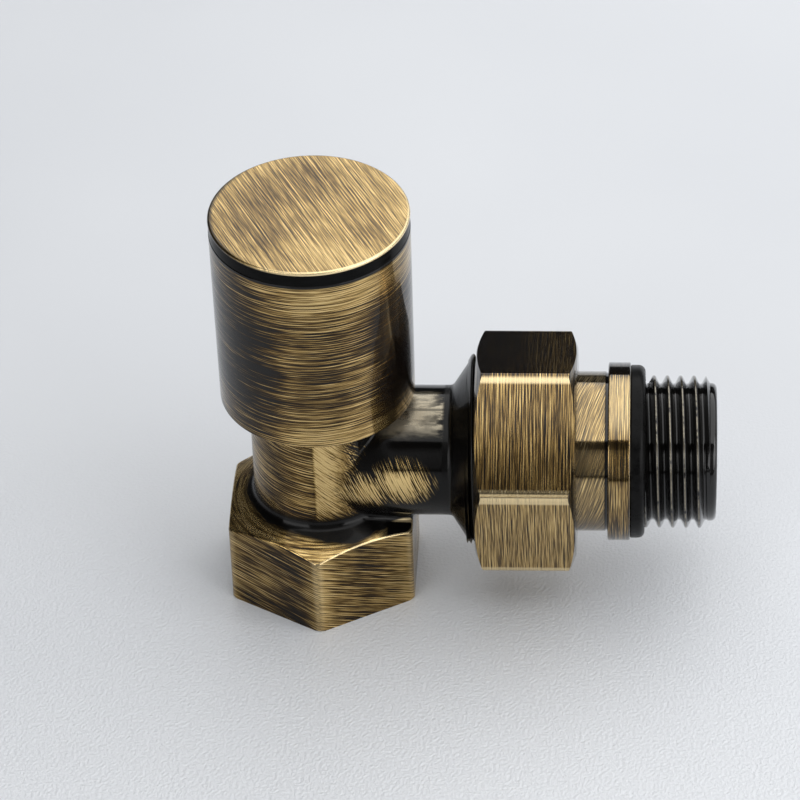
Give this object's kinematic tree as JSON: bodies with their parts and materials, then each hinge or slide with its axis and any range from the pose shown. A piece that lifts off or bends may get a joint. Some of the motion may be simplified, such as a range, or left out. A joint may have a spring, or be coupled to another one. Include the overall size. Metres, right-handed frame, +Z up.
{
  "type": "radiator valve",
  "caption": "Manual angle radiator valve in antique brushed brass, with a round knob, a hexagon inlet, a union nut and a threaded tail with a black sealing ring.",
  "frame": {"origin": "centre of the inlet's mouth, on the underside of the hexagon base", "axes": "+Z up along the spindle and inlet axis, +X along the branch towards the outlet thread"},
  "size_m": [0.0673, 0.0318, 0.0605],
  "materials": {
    "antique_brass": "dark patina brushed through to the brass, under clear lacquer",
    "plain_brass": "machined",
    "black_trim": "gloss",
    "black_rubber": "satin",
    "steel": "plain"
  },
  "bodies": {
    "valve": {"valve_body": "antique_brass", "bonnet": "plain_brass", "bonnet_gasket": "black_rubber"},
    "disc": {"jumper": "plain_brass", "seat_washer": "black_rubber", "washer_screw": "steel"},
    "handle": {"spindle": "plain_brass", "spindle_o_ring_lower": "black_rubber", "spindle_o_ring_upper": "black_rubber", "jumper_clip": "steel", "knob": "antique_brass", "knob_screw_washer": "steel", "knob_screw": "steel", "knob_trim_ring": "black_trim", "knob_cover": "antique_brass"},
    "tail": {"tailpiece": "antique_brass", "retaining_ring": "steel", "union_o_ring": "black_rubber", "tail_gasket": "black_rubber"},
    "nut": {"union_nut": "antique_brass"}
  },
  "joints": [
    {"name": "disc_lift", "type": "slide", "parent": "valve", "child": "disc", "axis": [0, 0, 1], "range_m": [0, 0.004]},
    {"name": "knob_turn", "type": "hinge", "parent": "disc", "child": "handle", "pos_m": [0, 0, 0.045], "axis": [0, 0, 1], "range_deg": [0, 720]},
    {"name": "tail_draw", "type": "slide", "parent": "valve", "child": "tail", "axis": [1, 0, 0], "range_m": [0, 0.00908]},
    {"name": "nut_turn", "type": "hinge", "parent": "tail", "child": "nut", "pos_m": [0.02825, 0, 0.0207], "axis": [1, 0, 0], "range_deg": [0, 1800]}
  ],
  "couplings": [
    {"joint": "disc_lift", "follows": "knob_turn", "m_per_rad": 0.0003183},
    {"joint": "tail_draw", "follows": "nut_turn", "m_per_rad": 0.00028875}
  ]
}
